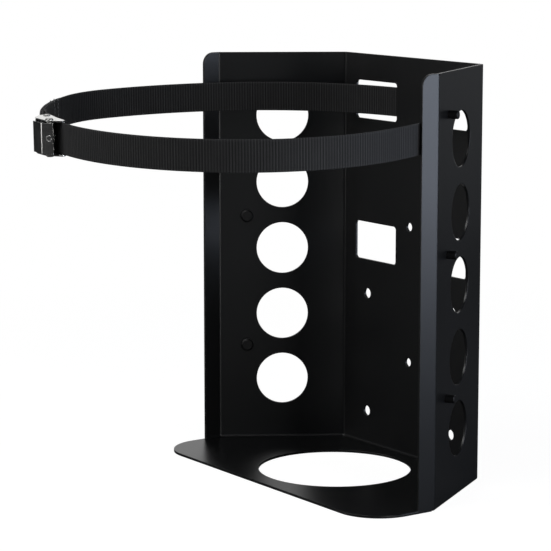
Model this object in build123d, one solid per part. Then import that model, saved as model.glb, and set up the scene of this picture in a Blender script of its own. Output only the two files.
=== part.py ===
"""Gas cylinder bracket: folded sheet-steel cradle, rubber buffers and a webbing strap with a cam buckle.

Drawn with Y = 0 on the wall face, the cylinder on the -Y side, Z = 0 at the underside and X = 0 as the
cradle's plane of symmetry, then set down with its origin in the middle of the four side fixings.
Millimetres and degrees.
"""

import os
from math import atan2, cos, degrees, pi, radians, sin, sqrt

from build123d import *

# Cradle: one blank, folded into back, splayed side walls, straight lips and a base
SHEET = 2.0
HEIGHT = 350.0
BACK_WIDTH = 186.6  # between the inner fold lines of the side walls
WALL_WIDTH = 112.0  # from the back fold to the lip fold, inside
WALL_FOLD = 57.5  # how far each side wall is folded forward from the back
LIP_WIDTH = 16.0
LIP_CORNER_RADIUS = 10.0
BEND_RADIUS = 2.5  # inside the folds
SEAM_FILLET = 2.0  # fold and weld fillet between the base and what stands on it
HEEL_RADIUS = 1.6  # dressed outer edge along the foot of the back and walls

# Base
BASE_DEPTH = 162.0
BASE_CORNER_RADIUS = 37.0
BASE_HOLE = 130.6
BASE_HOLE_FROM_BACK = 81.0

# Lightening holes in the side walls
WALL_HOLE = 46.0
WALL_HOLE_PITCH = 59.5
WALL_HOLES = 5

# Strap windows and wall fixings in the back
WINDOW_WIDTH = 57.6
WINDOW_HEIGHT = 33.5
WINDOW_CORNER_RADIUS = 3.0
WINDOW_CENTRE = 47.8
WINDOW_FROM_TOP = 40.0
WINDOW_PITCH = 125.0
WINDOW_LEVELS = (HEIGHT - WINDOW_FROM_TOP - WINDOW_PITCH, HEIGHT - WINDOW_FROM_TOP)
SIDE_FIXING_HOLE = 9.0
SIDE_FIXING_SPACING = 118.0
SIDE_FIXING_LEVELS = (31.5, 138.0)
CENTRE_FIXING_HOLE = 7.6
CENTRE_FIXING_LEVELS = (85.0, 204.0)

# Rubber buffers pushed through the side walls
BUFFER_LEVELS = (87.0, 204.0, 316.0)
BUFFER_FROM_BACK = 87.5
BUFFER_STEM = 6.8
BUFFER_STEM_LENGTH = 8.0
BUFFER_HEAD = 11.0
BUFFER_HEAD_HEIGHT = 3.0
BUFFER_HEAD_BEVEL = 1.2
BUFFER_NOSE = 0.6

# Strap: one length of webbing, led behind the strip between the upper windows
WEBBING = 25.4
WEBBING_THICKNESS = 1.6
SOFT_GAP = 0.3
STRAP_BELOW_WINDOW_CENTRE = 0.5
STRAP_LEVEL = WINDOW_LEVELS[1] - STRAP_BELOW_WINDOW_CENTRE
STRAP_TILT_SIDEWAYS = -0.038  # rise per millimetre of X
STRAP_TILT_FORWARD = 0.037  # rise per millimetre of Y
STRIP_TURN_RADIUS = 5.0
STRAP_STRIP_GAP = 1.0
STRAP_BEHIND = 1.6
STRAP_LIP_GAP = 2.0
STRAP_LIP_HEADING = 67.0
STRAP_BULGE = 13.5  # how far the loop swells past the right lip
STRAP_BULGE_LEFT = 19.0
LOOP_DEPTH = 332.0
FRONT_TURN = 45.0  # where the right half of the loop changes its radius
BUCKLE_TURN = 8.0
BUCKLE_STRAIGHT = 38.0
STRAP_HEEL_RADIUS = 20.0  # where the strap turns in behind the buckle
HEEL_TURN = 24.5
LEFT_TURN = 55.0  # where the left half of the loop changes its radius
DOUBLED_LENGTH = 100.0
TAIL_LENGTH = 55.0

# Buckle, in its own section: s along the strap, n outwards from the middle of the webbing
FRAME_SHEET = 1.2
STRAP_SIDE_PLAY = 0.3
EAR_INSIDE = WEBBING / 2 + STRAP_SIDE_PLAY
EAR_OUTSIDE = EAR_INSIDE + FRAME_SHEET
PIVOT = (10.5, 7.2)
PIN_RADIUS = 2.0
PIN_HEAD_RADIUS = 3.2
PIN_HEAD = 1.1
RUNNING_GAP = 0.05
BAR = (-13.0, 0.0)
BAR_HEAD_RADIUS = 2.8
BAR_HEAD = 0.7
RIVET_BEVEL = 0.6  # share of a head's height
LEVER_SHEET = 1.7
LEVER_SIDE_GAP = 0.7
LEVER_HALF_WIDTH = EAR_INSIDE - LEVER_SIDE_GAP
CAM_CENTRE = (7.5, 7.35)
CAM_RADIUS = 6.3
CAM_TEETH = 6
CAM_TOOTH_PITCH = 9.0  # degrees
CAM_TOOTH_DEPTH = 0.5
SPRING_WIRE = 0.8
SPRING_PITCH = 1.04
SPRING_RADIUS = 2.75
SPRING_TURNS = 5
SPRING_CHORDS = 12  # straight chords to a turn, which keep the small coil light
SPRING_POCKET_RADIUS = 3.9
SPRING_POCKET = 8.4
DIP_START = 2.0  # where the free end turns down between the plate and the bar
DIP_TURN = 40.0
DIP_RADIUS = 4.0
PLATE_SPAN = (3.2, 20.0)
PLATE_TOP = -(WEBBING_THICKNESS / 2 + SOFT_GAP)
PLATE_UNDER = PLATE_TOP - FRAME_SHEET
EAR_OUTLINE = (
    (20.0, PLATE_UNDER),
    (22.5, 0.6),
    (18.0, 5.2),
    (13.2, 10.9),
    (-3.0, 12.7),
    (-9.5, 11.3),
    (-17.2, 4.8),
    (-17.2, -1.0),
    (-14.0, -3.6),
    (1.5, PLATE_UNDER),
)
EAR_ROUND = 1.2
BRIDGE_LINE = ((-4.9, 12.2), (-9.3, 10.9), (-16.3, 4.6))
BRIDGE_RADIUS = 4.0
THUMB_LINE = ((19.0, 7.2), (10.6, 13.6), (-3.0, 14.9))
THUMB_BEND = 2.5
STAMP_RADIUS = 2.5
STAMP_WIDTH = 0.7
STAMP_HEIGHT = 0.35
STAMP_FROM_EDGE = 0.36  # share of the thumb plate's slope

wall_direction = Vector(cos(radians(WALL_FOLD)), -sin(radians(WALL_FOLD)))
wall_normal = Vector(sin(radians(WALL_FOLD)), cos(radians(WALL_FOLD)))
back_fold = Vector(BACK_WIDTH / 2, -SHEET)
lip_fold = back_fold + wall_direction * WALL_WIDTH
lip_end = lip_fold - Vector(0, LIP_WIDTH)
outer_half_width = lip_fold.X + SHEET


def mirrored(point):
    return Vector(-point.X, point.Y)


def wall_plane(side, along, level):
    """A plane on the inner face of a side wall, its Z pointing outwards."""
    spot = back_fold + wall_direction * along
    return Plane(
        origin=(side * spot.X, spot.Y, level),
        x_dir=(side * wall_direction.X, wall_direction.Y, 0),
        z_dir=(side * wall_normal.X, wall_normal.Y, 0),
    )


def back_cut(shape, x, level):
    """A cutter through the back, drawn on its inner face."""
    face = Plane(origin=(x, -SHEET, level), x_dir=(1, 0, 0), z_dir=(0, -1, 0))
    return extrude(face * shape, amount=2 * SHEET, both=True)


def behind_lips(edge):
    return edge.center().Y > lip_end.Y + SHEET / 2


def make_cradle():
    corners = [mirrored(lip_end), mirrored(lip_fold), mirrored(back_fold), back_fold, lip_fold, lip_end]
    inner = FilletPolyline(*corners, radius=BEND_RADIUS)
    section = make_face(offset(inner, SHEET, side=Side.LEFT, closed=True).edges())
    folded = extrude(section, amount=HEIGHT)

    floor = make_face(Polyline(*corners, close=True).edges())
    cradle = folded + extrude(floor, amount=SHEET)
    seam = cradle.edges().filter_by_position(Axis.Z, SHEET, SHEET).filter_by(behind_lips)
    cradle = fillet(seam, radius=SEAM_FILLET)
    heel = cradle.edges().filter_by_position(Axis.Z, 0, 0).filter_by(behind_lips)
    cradle = fillet(heel, radius=HEEL_RADIUS)

    apron_back = lip_fold.Y - BEND_RADIUS
    apron = Pos(0, (apron_back - BASE_DEPTH) / 2) * Rectangle(2 * outer_half_width, BASE_DEPTH + apron_back)
    front_corners = apron.vertices().group_by(Axis.Y)[0]
    cradle += extrude(fillet(front_corners, radius=BASE_CORNER_RADIUS), amount=SHEET)
    cradle -= Pos(0, -BASE_HOLE_FROM_BACK) * Cylinder(BASE_HOLE / 2, 4 * SHEET)

    top_corners = [
        edge
        for edge in cradle.edges().filter_by(Axis.X).group_by(Axis.Z)[-1]
        if abs(edge.center().Y - lip_end.Y) < SHEET / 2
    ]
    cradle = fillet(top_corners, radius=LIP_CORNER_RADIUS)

    window = RectangleRounded(WINDOW_WIDTH, WINDOW_HEIGHT, WINDOW_CORNER_RADIUS)
    for side in (-1, 1):
        for level in WINDOW_LEVELS:
            cradle -= back_cut(window, side * WINDOW_CENTRE, level)
        for level in SIDE_FIXING_LEVELS:
            cradle -= back_cut(Circle(SIDE_FIXING_HOLE / 2), side * SIDE_FIXING_SPACING / 2, level)
        for step in range(WALL_HOLES):
            level = HEIGHT / 2 + (step - (WALL_HOLES - 1) / 2) * WALL_HOLE_PITCH
            hole = wall_plane(side, WALL_WIDTH / 2, level) * Circle(WALL_HOLE / 2)
            cradle -= extrude(hole, amount=2 * SHEET, both=True)
        for level in BUFFER_LEVELS:
            hole = wall_plane(side, BUFFER_FROM_BACK, level) * Circle(BUFFER_STEM / 2)
            cradle -= extrude(hole, amount=2 * SHEET, both=True)
    for level in CENTRE_FIXING_LEVELS:
        cradle -= back_cut(Circle(CENTRE_FIXING_HOLE / 2), 0, level)
    return cradle


def make_buffer():
    """A bevelled head inside the wall and a stem through it, along +Z from the inner face."""
    head = Pos(0, 0, -BUFFER_HEAD_HEIGHT / 2) * Cylinder(BUFFER_HEAD / 2, BUFFER_HEAD_HEIGHT)
    head = chamfer(head.edges().group_by(Axis.Z)[0], length=BUFFER_HEAD_BEVEL)
    length = SHEET + BUFFER_STEM_LENGTH
    stem = Pos(0, 0, length / 2) * Cylinder(BUFFER_STEM / 2, length)
    stem = chamfer(stem.edges().group_by(Axis.Z)[-1], length=BUFFER_NOSE)
    return head + stem


# The loop of the strap, drawn in its own tilted plane
strip_edge = Vector(WINDOW_CENTRE - WINDOW_WIDTH / 2 + STRAP_STRIP_GAP, STRAP_BEHIND)
lip_pass = Vector(lip_fold.X - STRAP_LIP_GAP, lip_end.Y)
loop_plane = Plane(
    origin=(0, 0, STRAP_LEVEL),
    x_dir=(1, 0, STRAP_TILT_SIDEWAYS),
    z_dir=(-STRAP_TILT_SIDEWAYS, -STRAP_TILT_FORWARD, 1),
)


chord = lip_pass - strip_edge
chord_angle = degrees(atan2(-chord.Y, chord.X))
strip_turn = 2 * chord_angle - STRAP_LIP_HEADING
back_turn = STRAP_LIP_HEADING - strip_turn
back_radius = chord.length / 2 / sin(radians(back_turn / 2))
lip_turn = 90 - STRAP_LIP_HEADING


def lip_radius(bulge):
    return bulge / (1 - sin(radians(STRAP_LIP_HEADING)))


def widest(bulge):
    """From the middle of the front of the loop to its widest point on the side of this bulge."""
    reach = LOOP_DEPTH + lip_pass.Y - lip_radius(bulge) * cos(radians(STRAP_LIP_HEADING))
    return Vector(lip_pass.X + bulge, reach)


def travel(radius, first, last):
    """Way made across and back along an arc of the loop between two turns away from the front."""
    first, last = radians(first), radians(last)
    return Vector(sin(last) - sin(first), cos(first) - cos(last)) * radius


def two_arcs(way, first, middle):
    """Radii of two arcs that make this way, from the first turn to the middle one and on to 90 degrees."""
    near, far = travel(1, first, middle), travel(1, middle, 90)
    across = near.cross(far).Z
    return way.cross(far).Z / across, near.cross(way).Z / across


front_radius, side_radius = two_arcs(widest(STRAP_BULGE), 0, FRONT_TURN)
buckle_s = Vector(cos(radians(BUCKLE_TURN)), -sin(radians(BUCKLE_TURN)))
buckle_n = Vector(-sin(radians(BUCKLE_TURN)), -cos(radians(BUCKLE_TURN)))
straight_end = Vector(0, -LOOP_DEPTH) + mirrored(travel(front_radius, 0, BUCKLE_TURN))
buckle_origin = straight_end - buckle_s * (BUCKLE_STRAIGHT / 2)
buckle_plane = Plane(origin=(buckle_origin.X, buckle_origin.Y, 0), x_dir=buckle_s, z_dir=(0, 0, -1))
heel_start = travel(front_radius, 0, BUCKLE_TURN) + mirrored(-buckle_s) * BUCKLE_STRAIGHT
heel_end = heel_start + travel(STRAP_HEEL_RADIUS, BUCKLE_TURN, HEEL_TURN)
far_radius, left_radius = two_arcs(widest(STRAP_BULGE_LEFT) - heel_end, HEEL_TURN, LEFT_TURN)


def on_buckle(s, n):
    return buckle_origin + buckle_s * s + buckle_n * n


def chain(start, heading, runs):
    """Tangent straights and arcs: each run is (length,) or (radius, turn)."""
    line = None
    point = start
    tangent = Vector(cos(radians(heading)), sin(radians(heading)))
    for run in runs:
        step = Line(point, point + tangent * run[0]) if len(run) == 1 else JernArc(point, tangent, *run)
        line = step if line is None else line + step
        point, tangent = step @ 1, step % 1
    return line


def band(line, thickness):
    """The line with half the thickness on each side."""
    left = make_face(offset(line, thickness / 2, side=Side.LEFT, closed=True).edges())
    right = make_face(offset(line, thickness / 2, side=Side.RIGHT, closed=True).edges())
    return left + right


def swept(face, width):
    """A section of the loop made as wide as the webbing or a buckle piece."""
    return extrude(face, amount=width / 2, both=True)


def make_strap():
    fold_radius = PIN_RADIUS + SOFT_GAP + WEBBING_THICKNESS / 2
    tail_drop = fold_radius + WEBBING_THICKNESS + SOFT_GAP
    dip_run = (tail_drop - 2 * DIP_RADIUS * (1 - cos(radians(DIP_TURN)))) / sin(radians(DIP_TURN))
    dip_length = 2 * DIP_RADIUS * sin(radians(DIP_TURN)) + dip_run * cos(radians(DIP_TURN))
    tail_flat = BUCKLE_STRAIGHT / 2 + DIP_START - dip_length
    sewn_straight = BUCKLE_STRAIGHT / 2 + BAR[0] - fold_radius
    heel_turn = HEEL_TURN - BUCKLE_TURN
    strip_straight = 2 * (strip_edge.X - STRIP_TURN_RADIUS * sin(radians(strip_turn)))
    to_strip = [(back_radius, back_turn), (STRIP_TURN_RADIUS, strip_turn)]
    around = [(front_radius, BUCKLE_TURN + FRONT_TURN), (side_radius, 90 - FRONT_TURN)]
    around += [(lip_radius(STRAP_BULGE), lip_turn), *to_strip, (strip_straight,), *reversed(to_strip)]
    around += [(lip_radius(STRAP_BULGE_LEFT), lip_turn), (left_radius, 90 - LEFT_TURN)]
    around += [(far_radius, LEFT_TURN - HEEL_TURN), (STRAP_HEEL_RADIUS, heel_turn), (sewn_straight,)]
    straight = Line(on_buckle(DIP_START, 0), straight_end)
    loop = swept(band(straight + chain(straight_end, -BUCKLE_TURN, around), WEBBING_THICKNESS), WEBBING)

    under_bar = [(DIP_RADIUS, -DIP_TURN), (dip_run,), (DIP_RADIUS, DIP_TURN), (tail_flat,)]
    tail_radius = far_radius - tail_drop
    under_bar += [(STRAP_HEEL_RADIUS - tail_drop, -heel_turn)]
    under_bar += [(tail_radius, -degrees(TAIL_LENGTH / tail_radius))]
    dip = chain(on_buckle(DIP_START, 0), 180 - BUCKLE_TURN, under_bar)
    tail = swept(band(dip, WEBBING_THICKNESS), WEBBING)

    overlap = [(sewn_straight,), (STRAP_HEEL_RADIUS, -heel_turn)]
    overlap += [(far_radius, -degrees(DOUBLED_LENGTH / far_radius))]
    doubled = chain(on_buckle(BAR[0] - fold_radius, 0), 180 - BUCKLE_TURN, overlap)
    sewn = swept(band(doubled, 2 * WEBBING_THICKNESS), WEBBING)
    eye = Circle(fold_radius + WEBBING_THICKNESS / 2) - Circle(fold_radius - WEBBING_THICKNESS / 2)
    eye = swept(buckle_plane * Pos(*BAR) * eye, WEBBING)
    return loop + tail + sewn + eye


def make_frame():
    ear = make_face(Polyline(*EAR_OUTLINE, close=True).edges())
    ear = fillet(ear.vertices(), radius=EAR_ROUND)
    both = Pos(0, 0, EAR_INSIDE) * extrude(ear, amount=FRAME_SHEET)
    both += mirror(both, about=Plane.XY)
    plate_middle = Pos((PLATE_SPAN[0] + PLATE_SPAN[1]) / 2, (PLATE_TOP + PLATE_UNDER) / 2)
    plate = plate_middle * Rectangle(PLATE_SPAN[1] - PLATE_SPAN[0], FRAME_SHEET)
    bridge = band(FilletPolyline(*BRIDGE_LINE, radius=BRIDGE_RADIUS), FRAME_SHEET)
    frame = both + swept(plate, 2 * EAR_OUTSIDE) + swept(bridge, 2 * EAR_OUTSIDE - FRAME_SHEET)
    for centre in (PIVOT, BAR):
        frame -= Pos(*centre) * Cylinder(PIN_RADIUS, 3 * EAR_OUTSIDE)
    return buckle_plane * frame


def make_rivet(centre, head_radius, head):
    rivet = Cylinder(PIN_RADIUS, 2 * EAR_OUTSIDE)
    cap = Pos(0, 0, EAR_OUTSIDE + head / 2) * Cylinder(head_radius, head)
    cap = chamfer(cap.edges().group_by(Axis.Z)[-1], length=head * RIVET_BEVEL)
    return buckle_plane * Pos(*centre) * (rivet + cap + mirror(cap, about=Plane.XY))


def make_lever():
    thumb = swept(band(FilletPolyline(*THUMB_LINE, radius=THUMB_BEND), LEVER_SHEET), 2 * LEVER_HALF_WIDTH)
    cam = Pos(*CAM_CENTRE) * Cylinder(CAM_RADIUS, 2 * LEVER_HALF_WIDTH)
    lever = cam + thumb
    for tooth in range(CAM_TEETH):
        angle = -90 - (tooth - CAM_TEETH / 2) * CAM_TOOTH_PITCH
        notch = Pos(*CAM_CENTRE) * Rot(0, 0, angle) * Pos(CAM_RADIUS, 0) * Rot(0, 0, 45)
        side = CAM_TOOTH_DEPTH * sqrt(2)
        lever -= notch * Box(side, side, 3 * LEVER_HALF_WIDTH)
    lever -= Pos(*PIVOT) * Cylinder(PIN_RADIUS + RUNNING_GAP, 3 * LEVER_HALF_WIDTH)
    lever -= Pos(*PIVOT) * Cylinder(SPRING_POCKET_RADIUS, SPRING_POCKET)
    slope = Vector(*THUMB_LINE[1]) - Vector(*THUMB_LINE[0])
    middle = Vector(*THUMB_LINE[0]) + slope * STAMP_FROM_EDGE
    outward = Vector(slope.Y, -slope.X).normalized()
    face = Plane(origin=middle + outward * (LEVER_SHEET / 2), x_dir=(0, 0, 1), z_dir=outward)
    stamp = Circle(STAMP_RADIUS) - Circle(STAMP_RADIUS - STAMP_WIDTH)
    lever += extrude(face * stamp, amount=STAMP_HEIGHT) + extrude(face * stamp, amount=-LEVER_SHEET / 2)
    return buckle_plane * lever


def make_spring():
    points = []
    for chord in range(SPRING_TURNS * SPRING_CHORDS + 1):
        turns = chord / SPRING_CHORDS
        angle = 2 * pi * turns
        rise = (turns - SPRING_TURNS / 2) * SPRING_PITCH
        points.append((SPRING_RADIUS * cos(angle), SPRING_RADIUS * sin(angle), rise))
    coil = Polyline(*points)
    wire = Plane(coil @ 0, z_dir=coil % 0) * RegularPolygon(SPRING_WIRE / 2, 6)
    wire = sweep(wire, path=coil, transition=Transition.RIGHT)
    return buckle_plane * Pos(*PIVOT) * wire


nodes = {"cradle": make_cradle()}
buffer = make_buffer()
for side, name in ((-1, "left"), (1, "right")):
    for row, level in enumerate(BUFFER_LEVELS, start=1):
        nodes[f"buffer_{name}_{row}"] = wall_plane(side, BUFFER_FROM_BACK, level) * buffer
nodes["strap"] = loop_plane * make_strap()
nodes["buckle_frame"] = loop_plane * make_frame()
nodes["buckle_lever"] = loop_plane * make_lever()
nodes["buckle_pin"] = loop_plane * make_rivet(PIVOT, PIN_HEAD_RADIUS, PIN_HEAD)
nodes["buckle_bar"] = loop_plane * make_rivet(BAR, BAR_HEAD_RADIUS, BAR_HEAD)
nodes["lever_spring"] = loop_plane * make_spring()

fixings_level = (SIDE_FIXING_LEVELS[0] + SIDE_FIXING_LEVELS[1]) / 2
os.makedirs("parts", exist_ok=True)
for name, solid in nodes.items():
    export_step(Pos(0, 0, -fixings_level) * solid, f"parts/{name}.step")
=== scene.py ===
import math

import bpy
from mathutils import Matrix, Vector


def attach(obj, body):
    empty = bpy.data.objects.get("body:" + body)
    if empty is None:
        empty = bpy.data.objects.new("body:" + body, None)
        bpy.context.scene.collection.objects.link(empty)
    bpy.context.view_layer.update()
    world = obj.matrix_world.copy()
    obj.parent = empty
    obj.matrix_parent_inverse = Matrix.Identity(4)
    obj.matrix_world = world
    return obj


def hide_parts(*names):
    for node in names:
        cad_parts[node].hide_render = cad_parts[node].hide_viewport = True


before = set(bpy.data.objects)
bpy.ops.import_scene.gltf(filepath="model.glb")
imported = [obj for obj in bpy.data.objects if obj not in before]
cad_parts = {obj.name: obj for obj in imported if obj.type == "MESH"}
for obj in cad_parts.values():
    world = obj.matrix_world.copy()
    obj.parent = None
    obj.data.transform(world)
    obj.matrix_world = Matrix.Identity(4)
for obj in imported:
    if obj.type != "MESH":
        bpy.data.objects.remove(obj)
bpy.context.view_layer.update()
MM = 0.001

# ---------------------------------------------------------------------------------------------
# Cradle: one blank of 2 mm sheet steel with the holes punched, folded into the back, the two side
# walls, their lips and the base, and welded where the walls stand on the base. It is powder coated
# black all over after that, so the coat rounds the cut edges and has a fine orange-peel skin.
# ---------------------------------------------------------------------------------------------


class Flow:
    """An output of a shader node. Sums and products of flows add Math nodes."""

    def __init__(self, tree, socket=None):
        self.tree = tree
        self.socket = socket

    def node(self, kind, settings=None, sockets=None, output=0):
        """A node of any kind: its settings first, then the values or links of its sockets."""
        made = self.tree.nodes.new("ShaderNode" + kind)
        for name, value in (settings or {}).items():
            setattr(made, name, value)
        for name, value in (sockets or {}).items():
            if isinstance(value, Flow):
                self.tree.links.new(value.socket, made.inputs[name])
            else:
                made.inputs[name].default_value = value
        return Flow(self.tree, made.outputs[output] if len(made.outputs) else None)

    def math(self, operation, a, b=0.0, clamp=False):
        return self.node("Math", {"operation": operation, "use_clamp": clamp}, {0: a, 1: b})

    def __add__(self, other):
        return self.math("ADD", self, other)

    def __sub__(self, other):
        return self.math("SUBTRACT", self, other)

    def __mul__(self, other):
        return self.math("MULTIPLY", self, other)

    def __truediv__(self, other):
        return self.math("DIVIDE", self, other)

    def __rsub__(self, other):
        return self.math("SUBTRACT", other, self)

    def __rtruediv__(self, other):
        return self.math("DIVIDE", other, self)

    __radd__ = __add__
    __rmul__ = __mul__

    def between(self, low, high):
        """This 0 to 1 value as a mix of two colours."""
        return self.node(
            "Mix", {"data_type": "RGBA"}, {0: self, 6: (*low, 1), 7: (*high, 1)}, output=2
        )

    def bump(self, strength, distance, edge=0.0):
        """This height as a normal, on edges rounded by this radius."""
        sockets = {"Height": self, "Strength": strength, "Distance": distance}
        if edge:
            sockets["Normal"] = self.node("Bevel", {"samples": 6}, {"Radius": edge})
        return self.node("Bump", None, sockets)


def new_finish(name):
    """An empty material and the flow that its nodes start from."""
    material = bpy.data.materials.new(name)
    material.use_nodes = True
    material.node_tree.nodes.clear()
    return material, Flow(material.node_tree)


def surface(flow, sockets):
    """Closes a material with its one Principled shader."""
    shader = flow.node("BsdfPrincipled", None, sockets)
    flow.node("OutputMaterial", None, {"Surface": shader})


def paint(node, material):
    """Gives a CAD piece its finish."""
    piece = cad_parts[node]
    for place in piece.material_slots:
        place.material = material
    if not piece.material_slots:
        piece.data.materials.append(material)


powder_coat, start = new_finish("black_powder_coat")
place = start.node("TexCoord", None, None, output=3)
peel = start.node("TexNoise", None, {"Vector": place, "Scale": 620.0, "Detail": 2.0, "Roughness": 0.45})
cloud = start.node("TexNoise", None, {"Vector": place, "Scale": 14.0, "Detail": 3.0, "Roughness": 0.5})
speck = start.node("TexNoise", None, {"Vector": place, "Scale": 2400.0, "Detail": 1.0})
surface(
    start,
    {
        "Base Color": cloud.between((0.0022, 0.0023, 0.0027), (0.0034, 0.0036, 0.0042)),
        "Roughness": 0.29 + cloud * 0.05 + speck * 0.04,
        "Specular IOR Level": 0.45,
        "Normal": (peel + speck * 0.35).bump(0.22, 0.00006, 0.001),
    },
)
paint("cradle", powder_coat)

# ---------------------------------------------------------------------------------------------
# Buffers: six small moulded rubber plugs, pushed from inside through holes in the side walls, so
# that the cylinder doesn't rattle on the steel. The rubber is deep black with a low shine and a
# fine moulded skin.
# ---------------------------------------------------------------------------------------------

rubber, start = new_finish("moulded_rubber")
place = start.node("TexCoord", None, None, output=3)
dust = start.node("TexNoise", None, {"Vector": place, "Scale": 380.0, "Detail": 4.0, "Roughness": 0.6})
skin = start.node("TexNoise", None, {"Vector": place, "Scale": 1900.0, "Detail": 2.0})
surface(
    start,
    {
        "Base Color": dust.between((0.0025, 0.0025, 0.0028), (0.006, 0.006, 0.0064)),
        "Roughness": 0.36 + dust * 0.15,
        "Specular IOR Level": 0.3,
        "Normal": skin.bump(0.25, 0.00005),
    },
)
for side in ("left", "right"):
    for row in (1, 2, 3):
        paint(f"buffer_{side}_{row}", rubber)

# ---------------------------------------------------------------------------------------------
# Strap: one length of 25 mm black polyester webbing, woven with a rib across every 2.3 mm and a
# plain selvedge. One end is sewn back on itself round the buckle's bar with two rows of stitches,
# the middle goes behind the strip between the upper windows, and the free end, cut to a point, goes
# through the buckle and lies inside the loop.
# ---------------------------------------------------------------------------------------------

WEBBING = 25.4
THICKNESS = 1.6
RIB_PITCH = 2.3
RIB_HEIGHT = 0.16
SELVEDGE = 1.5
STEP = 0.5
FLOOR_LEVEL = -84.75
LOOP_LEVEL = 309.5 + FLOOR_LEVEL
TILT_SIDEWAYS = -0.038
TILT_FORWARD = 0.037

loop_z = Vector((-TILT_SIDEWAYS, -TILT_FORWARD, 1)).normalized()
loop_x = Vector((1, 0, TILT_SIDEWAYS)).normalized()
loop_y = loop_z.cross(loop_x)
loop_frame = Matrix((loop_x, loop_y, loop_z)).transposed().to_4x4()
loop_frame.translation = Vector((0, 0, LOOP_LEVEL))

BUCKLE_TURN = 8.0
BUCKLE_CENTRE = Vector((-42.936, -327.669))
BAR_AT = -13.0
EYE_RADIUS = 3.1
EYE_HALF_SWEEP = 112
EYE_HALF_STEPS = 9
BRIDGE_STEPS = 3  # points left out of each layer for the curve into the eye
buckle_s = Vector((math.cos(math.radians(BUCKLE_TURN)), -math.sin(math.radians(BUCKLE_TURN))))
buckle_n = Vector((-math.sin(math.radians(BUCKLE_TURN)), -math.cos(math.radians(BUCKLE_TURN))))


def on_buckle(s, n):
    return BUCKLE_CENTRE + buckle_s * s + buckle_n * n


def walk(point, heading, runs):
    """Points every step along tangent straights (length,) and arcs (radius, turn)."""
    points = [point.copy()]
    for run in runs:
        length = run[0] if len(run) == 1 else abs(run[0] * math.radians(run[1]))
        turn = 0 if len(run) == 1 else run[1]
        count = max(2, round(length / STEP))
        for _ in range(count):
            heading += turn / count / 2
            angle = math.radians(heading)
            point = point + Vector((math.cos(angle), math.sin(angle))) * (length / count)
            heading += turn / count / 2
            points.append(point.copy())
    return points


def normals(points):
    """Outward normals of a path that goes anticlockwise round the loop."""
    found = []
    for i in range(len(points)):
        ahead = points[min(i + 1, len(points) - 1)] - points[max(i - 1, 0)]
        ahead.normalize()
        found.append(Vector((ahead.y, -ahead.x)))
    return found


def smooth(t):
    t = min(1.0, max(0.0, t))
    return t * t * (3 - 2 * t)


ROUND_THE_LOOP = [
    (17.0,), (173.316, 53), (144.847, 45), (169.822, 23), (198.119, 52.115), (5.0, 14.885), (37.431,),
    (5.0, 14.885), (198.119, 52.115), (239.008, 23), (74.975, 35), (221.672, 30.5), (20.0, 16.5), (2.9,),
]
loop = walk(on_buckle(2, 0), -BUCKLE_TURN, ROUND_THE_LOOP)
loop_out = normals(loop)

DOUBLED = 108.7
PARTING_FROM = 12  # the outer layer starts to part from the middle this many steps before the end
PARTING_STEPS = 16
LAYER_GAP = 0.05
sewn_from = len(loop) - 1 - round(DOUBLED / STEP)
outer_layer = []
for i, point in enumerate(loop[:-BRIDGE_STEPS]):
    parted = smooth((i - sewn_from + PARTING_FROM) / PARTING_STEPS)
    outer_layer.append(point + loop_out[i] * (THICKNESS / 2 * parted))
eye = []
for k in range(-EYE_HALF_STEPS, EYE_HALF_STEPS + 1):
    sweep = math.radians(EYE_HALF_SWEEP * -k / EYE_HALF_STEPS)
    eye.append(on_buckle(BAR_AT + EYE_RADIUS * math.cos(sweep), EYE_RADIUS * math.sin(sweep)))
inner_layer = []
for i in range(len(loop) - 1 - BRIDGE_STEPS, sewn_from, -1):
    inner_layer.append(loop[i] - loop_out[i] * (THICKNESS / 2 + LAYER_GAP))

TAIL_REACH = 88.0
TAIL_DROP = 5.0
TAIL_CLOSE = 2.55
TAIL_CLOSES_FROM = 8.0
TAIL_CLOSES_OVER = 34.0
MOUTH_AT = 2  # where the webbing turns down from the buckle's plate, and where the loop starts
DIP_RADIUS = 4.0
DIP_TURN = 40
DIP_RUN = 4.87
UNDER_BAR = 9.2
dip = [(DIP_RADIUS, -DIP_TURN), (DIP_RUN,), (DIP_RADIUS, DIP_TURN), (UNDER_BAR,)]
free_end = walk(on_buckle(MOUTH_AT, 0), 180 - BUCKLE_TURN, dip)
for i in range(len(loop) - 1, len(loop) - 1 - round(TAIL_REACH / STEP), -1):
    from_eye = (len(loop) - 1 - i) * STEP
    closed = smooth((from_eye - TAIL_CLOSES_FROM) / TAIL_CLOSES_OVER)
    drop = TAIL_DROP + (TAIL_CLOSE - TAIL_DROP) * closed
    free_end.append(loop[i] - loop_out[i] * drop)


def bridge(a, a_before, b, b_after, count=10):
    """A smooth curve from a to b that leaves and arrives in line with its neighbours."""
    reach = (b - a).length
    leave = (a - a_before).normalized() * reach
    arrive = (b_after - b).normalized() * reach
    points = []
    for k in range(1, count):
        t = k / count
        points.append(
            a * (2 * t**3 - 3 * t**2 + 1) + leave * (t**3 - 2 * t**2 + t)
            + b * (3 * t**2 - 2 * t**3) + arrive * (t**3 - t**2)
        )
    return points


webbing_line = list(reversed(free_end[1:])) + outer_layer
webbing_line += bridge(outer_layer[-1], outer_layer[-2], eye[0], eye[1]) + eye
webbing_line += bridge(eye[-1], eye[-2], inner_layer[0], inner_layer[1]) + inner_layer

# The cut tip: how far from it, and the share of the webbing's width that is left there.
POINT = [(0.0, 0.02), (1.0, 0.1), (4.0, 0.14), (12.0, 0.22), (27.0, 0.5), (44.0, 1.0)]


def point_share(from_tip):
    """How much of the webbing's width is left this far from the cut tip."""
    for (a, low), (b, high) in zip(POINT, POINT[1:]):
        if from_tip < b:
            return low + (high - low) * (from_tip - a) / (b - a)
    return 1.0


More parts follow.
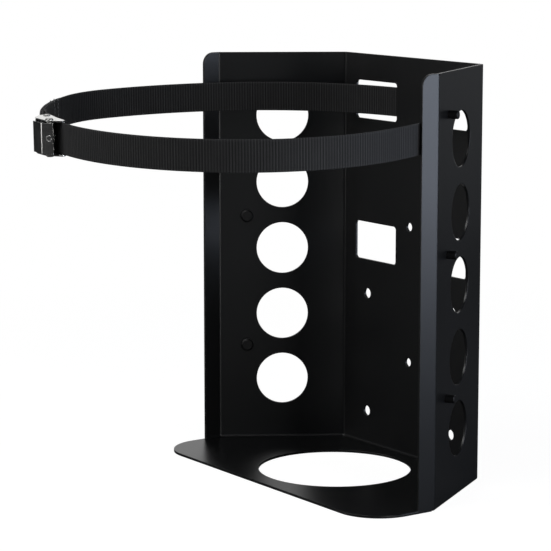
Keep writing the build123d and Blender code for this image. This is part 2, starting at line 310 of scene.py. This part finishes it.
# Half the webbing's section, from its round edge to its middle: across, and out of its own middle.
rim = [(12.7, 0.0), (12.62, 0.42), (12.3, 0.68), (11.9, 0.74), (11.2, 0.8)]
rim += [(8.0, 0.8), (4.0, 0.8), (0.0, 0.8)]
half = rim + [(-w, t) for w, t in reversed(rim[:-1])]
section = half + [(w, -t) for w, t in reversed(half[1:-1])]

vertices = []
runs_at = []
outward = normals(webbing_line)
travelled = 0.0
for i, point in enumerate(webbing_line):
    if i:
        travelled += (point - webbing_line[i - 1]).length
    rib = 0.5 + 0.5 * math.cos(2 * math.pi * travelled / RIB_PITCH)
    share = point_share(travelled)
    for w, t in section:
        covered = 1 - smooth((abs(w) - (WEBBING / 2 - SELVEDGE - 0.4)) / 0.8)
        lift = t - math.copysign(RIB_HEIGHT * (1 - rib) * covered, t) if abs(t) > 0.1 else t
        flat = point + outward[i] * lift
        vertices.append(loop_frame @ Vector((flat.x, flat.y, w * share)))
        runs_at.append((travelled * MM, w * share * MM, t * MM))
ring = len(section)
faces = []
for i in range(len(webbing_line) - 1):
    for k in range(ring):
        a, b = i * ring + k, i * ring + (k + 1) % ring
        faces.append((a, b, b + ring, a + ring))
faces.append(tuple(reversed(range(ring))))
faces.append(tuple(range(len(vertices) - ring, len(vertices))))


def build(name, points, polygons, material, smooth_angle=40.0, scale=MM):
    """A mesh object from points in millimetres, smooth except at sharp edges."""
    mesh = bpy.data.meshes.new(name)
    mesh.from_pydata([tuple(p * scale) for p in points], [], polygons)
    mesh.materials.append(material)
    mesh.update()
    mesh.polygons.foreach_set("use_smooth", [True] * len(mesh.polygons))
    mesh.set_sharp_from_angle(angle=math.radians(smooth_angle))
    piece = bpy.data.objects.new(name, mesh)
    bpy.context.scene.collection.objects.link(piece)
    return piece


webbing, start = new_finish("ribbed_black_webbing")
run = start.node("Attribute", {"attribute_name": "run"}, None, output=1)
along = start.node("SeparateXYZ", None, {0: run}, output=0)
across = start.node("SeparateXYZ", None, {0: run}, output=1)
# Painted highlight and shade: the colour follows the ribs, lighter on each rib's crest and darker in the
# groove between, by a random amount for each rib.
rib_crest_highlight = start.math("COSINE", along * (2 * math.pi / (RIB_PITCH * MM)))
rib_number = start.math("FLOOR", along * (1 / (RIB_PITCH * MM)) + 0.5)
each = start.node("TexWhiteNoise", {"noise_dimensions": "1D"}, {"W": rib_number})
# Painted highlight: the plain selvedge bands along both edges are coloured a little lighter than the body of
# the webbing.
selvedge_highlight_band = start.math("GREATER_THAN", start.math("ABSOLUTE", across), (WEBBING / 2 - SELVEDGE) * MM)
WARP_PITCH = 0.9
PICK_PITCH = 0.55
PICK_LEAN = 1.3
warp = start.math("COSINE", across * (2 * math.pi / (WARP_PITCH * MM)))
pick = along * (2 * math.pi / (PICK_PITCH * MM)) + across * (2 * math.pi / (PICK_LEAN * MM))
pick = start.math("COSINE", pick)
place = start.node("TexCoord", None, None, output=3)
fuzz = start.node("TexNoise", None, {"Vector": place, "Scale": 900.0, "Detail": 3.0, "Roughness": 0.6})
wear = start.node("TexNoise", None, {"Vector": place, "Scale": 45.0, "Detail": 3.0})
tone = start.math("ADD", rib_crest_highlight * (each * 0.5 + 0.15) + fuzz * 0.45, wear * 0.3 + selvedge_highlight_band * 0.15, clamp=True)
surface(
    start,
    {
        "Base Color": tone.between((0.005, 0.005, 0.0053), (0.036, 0.036, 0.0372)),
        "Roughness": 0.66 + fuzz * 0.12,
        "Specular IOR Level": 0.25,
        "Sheen Weight": 0.05,
        "Sheen Roughness": 0.5,
        "Normal": (warp * 0.35 + pick * 0.4 + fuzz * 0.6).bump(0.4, 0.00012),
    },
)
strap = build("strap_webbing", vertices, faces, webbing, 60.0)
record = strap.data.attributes.new("run", "FLOAT_VECTOR", "POINT")
record.data.foreach_set("vector", [v for spot in runs_at for v in spot])
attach(strap, "bracket")
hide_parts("strap")

# ---------------------------------------------------------------------------------------------
# Stitches: two rows of thick polyester thread across the doubled end, which hold the eye round the
# buckle's bar. Each stitch is a short bead of thread that sinks into the webbing at both ends.
# ---------------------------------------------------------------------------------------------

STITCH_LENGTH = 2.6
STITCH_GAP = 0.5
STITCH_THREAD = 0.42
STITCH_SINK = 0.02
FIRST_STITCH_FROM_EDGE = 1.8
LAST_STITCH_FROM_EDGE = 1.6
ROWS_FROM_EYE = (91.0, 101.0)


def bead(points, polygons, centre, lengthways, outward_by, crossways, length, thread):
    """One stitch, thick in its middle and thin where it dives."""
    first = len(points)
    sides, rings = 8, 7
    for r in range(rings):
        t = r / (rings - 1)
        fat = thread * (0.35 + 0.65 * math.sin(math.pi * t))
        rise = thread * 0.55 * math.sin(math.pi * t)
        middle = centre + lengthways * (length * (t - 0.5)) + outward_by * rise
        for s in range(sides):
            angle = 2 * math.pi * s / sides
            points.append(middle + outward_by * (fat * math.sin(angle)) + crossways * (fat * math.cos(angle)))
    for r in range(rings - 1):
        for s in range(sides):
            a, b = first + r * sides + s, first + r * sides + (s + 1) % sides
            polygons.append((a, b, b + sides, a + sides))
    polygons.append(tuple(first + s for s in reversed(range(sides))))
    polygons.append(tuple(first + (rings - 1) * sides + s for s in range(sides)))


stitch_points = []
stitch_faces = []
for from_eye in ROWS_FROM_EYE:
    at = len(loop) - 1 - round(from_eye / STEP)
    spot, out = loop[at], loop_out[at]
    ahead = Vector((-out.y, out.x))
    for layer in (-1, 1):
        face = spot + out * (layer * (THICKNESS - STITCH_SINK))
        w = -WEBBING / 2 + FIRST_STITCH_FROM_EDGE
        while w < WEBBING / 2 - LAST_STITCH_FROM_EDGE:
            middle = loop_frame @ Vector((face.x, face.y, w + STITCH_LENGTH / 2))
            normal = (loop_frame.to_3x3() @ Vector((out.x, out.y, 0))) * layer
            side = loop_frame.to_3x3() @ Vector((ahead.x, ahead.y, 0))
            bead(stitch_points, stitch_faces, middle, loop_z, normal, side, STITCH_LENGTH, STITCH_THREAD)
            w += STITCH_LENGTH + STITCH_GAP

thread, start = new_finish("stitching_thread")
place = start.node("TexCoord", None, None, output=3)
twist = start.node("TexNoise", None, {"Vector": place, "Scale": 2600.0, "Detail": 2.0})
surface(
    start,
    {
        "Base Color": twist.between((0.09, 0.09, 0.092), (0.2, 0.2, 0.205)),
        "Roughness": 0.55 + twist * 0.1,
        "Normal": twist.bump(0.3, 0.00005),
    },
)
stitches = build("strap_stitches", stitch_points, stitch_faces, thread, 80.0)
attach(stitches, "bracket")

# ---------------------------------------------------------------------------------------------
# Buckle: a body, a cam lever, a headed pin and a headed bar, pressed or turned from steel and bright
# nickel plated. The pressed sheet is smooth, with very faint drawing lines and handling marks.
# ---------------------------------------------------------------------------------------------

plated, start = new_finish("bright_nickel_plate")
place = start.node("TexCoord", None, None, output=3)
stretched = start.node("Mapping", None, {"Vector": place, "Scale": (1.0, 1.0, 9.0)})
drawn = start.node("TexNoise", None, {"Vector": stretched, "Scale": 260.0, "Detail": 3.0})
smudge = start.node("TexNoise", None, {"Vector": place, "Scale": 120.0, "Detail": 4.0, "Roughness": 0.6})
surface(
    start,
    {
        "Base Color": smudge.between((0.58, 0.575, 0.56), (0.70, 0.695, 0.68)),
        "Metallic": 1.0,
        "Roughness": 0.13 + smudge * 0.1,
        "Normal": drawn.bump(0.12, 0.00004, 0.0004),
    },
)
for node in ("buckle_frame", "buckle_lever"):
    paint(node, plated)

turned, start = new_finish("turned_plated_steel")
place = start.node("TexCoord", None, None, output=3)
marks = start.node("TexNoise", None, {"Vector": place, "Scale": 700.0, "Detail": 3.0})
surface(
    start,
    {
        "Base Color": marks.between((0.24, 0.238, 0.23), (0.36, 0.357, 0.345)),
        "Metallic": 1.0,
        "Roughness": 0.22 + marks * 0.12,
        "Normal": marks.bump(0.1, 0.00003),
    },
)
for node in ("buckle_pin", "buckle_bar"):
    paint(node, turned)

wire, start = new_finish("spring_wire")
place = start.node("TexCoord", None, None, output=3)
marks = start.node("TexNoise", None, {"Vector": place, "Scale": 900.0, "Detail": 2.0})
surface(
    start,
    {
        "Base Color": marks.between((0.25, 0.25, 0.26), (0.36, 0.36, 0.37)),
        "Metallic": 1.0,
        "Roughness": 0.3 + marks * 0.15,
    },
)
paint("lever_spring", wire)

# ---------------------------------------------------------------------------------------------
# Floor, lamps and camera: a table whose white sweep rises behind the bracket, a bluish softbox on
# the right, a tall one in front on the left, a narrow one low on the right, one overhead in front,
# two dim panels, and a long lens. The rest of the room is dim.
# ---------------------------------------------------------------------------------------------

AZIMUTH, ELEVATION = math.radians(55.092), math.radians(9.219)
AWAY = (-math.sin(AZIMUTH), math.cos(AZIMUTH), 0.0)
CAMERA_HEIGHT = 0.48718  # above the floor, in metres


def shows_white(flow, towards, low, high):
    """Camera rays see white everywhere, glossy and clear ones only where the sweep stands."""
    ahead = flow.node("VectorMath", {"operation": "NORMALIZE"}, {0: towards})
    ahead = flow.node("VectorMath", {"operation": "DOT_PRODUCT"}, {0: ahead, 1: AWAY}, output=1)
    sweep = flow.math("MULTIPLY", ahead - low, 1 / (high - low), clamp=True)
    camera_ray = flow.node("LightPath", None, None, output=0)
    glossy_ray = flow.node("LightPath", None, None, output=3)
    clear_ray = flow.node("LightPath", None, None, output=6)
    return flow.math("ADD", camera_ray, (glossy_ray + clear_ray) * sweep, clamp=True)


white, start = new_finish("white_table")
spot = start.node("NewGeometry", None, None, output=0)
table_top = start.node("BsdfDiffuse", None, {"Color": (0.14, 0.14, 0.14, 1)})
bright = start.node("Emission", None, {"Color": (1, 1, 1, 1), "Strength": 0.95})
paper = start.node("Emission", None, {"Color": (1, 1, 1, 1), "Strength": 1.0})
from_middle = start.node("VectorMath", {"operation": "LENGTH"}, {0: spot}, output=1)
far_off = start.math("MULTIPLY", from_middle - 0.35, 1.6, clamp=True)
lit = start.node("AddShader", None, {0: table_top, 1: bright})
lit = start.node("MixShader", None, {0: far_off, 1: lit, 2: paper})
shown = start.node("MixShader", None, {0: shows_white(start, spot, 0.86, 0.95), 1: table_top, 2: lit})
start.node("OutputMaterial", None, {"Surface": shown})
TABLE_REACH = 6.0
corners = []
for x, y in ((-1, -1), (1, -1), (1, 1), (-1, 1)):
    corners.append(Vector((x * TABLE_REACH, y * TABLE_REACH, FLOOR_LEVEL * MM)))
table = build("table", corners, [(0, 1, 2, 3)], white, 40.0, 1.0)

world = bpy.data.worlds.new("studio")
world.use_nodes = True
world.node_tree.nodes.clear()
start = Flow(world.node_tree)
way = start.node("TexCoord", None, None, output=0)
room = start.node("Background", None, {"Color": (0.9, 0.95, 1.0, 1), "Strength": 0.075})
backdrop = start.node("Background", None, {"Color": (1, 1, 1, 1), "Strength": 1.0})
both = start.node("MixShader", None, {0: shows_white(start, way, 0.8, 0.9), 1: room, 2: backdrop})
start.node("OutputWorld", None, {"Surface": both})
bpy.context.scene.world = world


def lamp(name, spot, target, width, height, radiance, shade=(1.0, 1.0, 1.0)):
    """A soft box of this size in metres, facing its target."""
    light = bpy.data.lights.new(name, "AREA")
    light.shape = "RECTANGLE"
    light.size, light.size_y = width, height
    light.energy = radiance * math.pi * width * height
    light.color = shade
    holder = bpy.data.objects.new(name, light)
    holder.location = spot
    holder.visible_camera = False
    holder.rotation_euler = (Vector(target) - Vector(spot)).to_track_quat("-Z", "Y").to_euler()
    bpy.context.scene.collection.objects.link(holder)


lamp("right_softbox", (1.1, 0.66, 0.26), (0.1, -0.04, 0.26), 0.8, 0.62, 5.6, (0.76, 0.84, 1.0))
lamp("front_softbox", (-0.85, -1.67, 0.85), (0.0, -0.1, 0.85), 0.78, 1.8, 2.0)
lamp("right_front_softbox", (0.95, -0.235, 0.13), (-0.15, -0.1, 0.13), 0.2, 0.5, 9.0)
lamp("dim_panel", (1.0, -0.82, 0.19), (-0.1, -0.1, 0.19), 0.6, 0.26, 0.2, (0.8, 0.88, 1.0))
lamp("top_softbox", (0.05, -0.95, 1.3), (0.05, -0.1, 0.1), 0.7, 0.75, 4.6)
lamp("rear_panel", (0.0, 1.35, 0.09), (0.12, -0.1, 0.09), 0.9, 0.3, 0.11, (0.9, 0.95, 1.0))

back = Vector((
    math.sin(AZIMUTH) * math.cos(ELEVATION), -math.cos(AZIMUTH) * math.cos(ELEVATION), math.sin(ELEVATION),
))
right = Vector((math.cos(AZIMUTH), math.sin(AZIMUTH), 0))
lens = bpy.data.cameras.new("long_lens")
lens.lens = 153.25
lens.sensor_width = 36.0
lens.clip_end = 50.0
camera = bpy.data.objects.new("camera", lens)
turn = Matrix((right, back.cross(right), back)).transposed().to_4x4()
turn.translation = Vector((1.57856, -1.24435, CAMERA_HEIGHT + FLOOR_LEVEL * MM))
camera.matrix_world = turn
bpy.context.scene.collection.objects.link(camera)
bpy.context.scene.camera = camera
bpy.context.scene.view_settings.view_transform = "Standard"
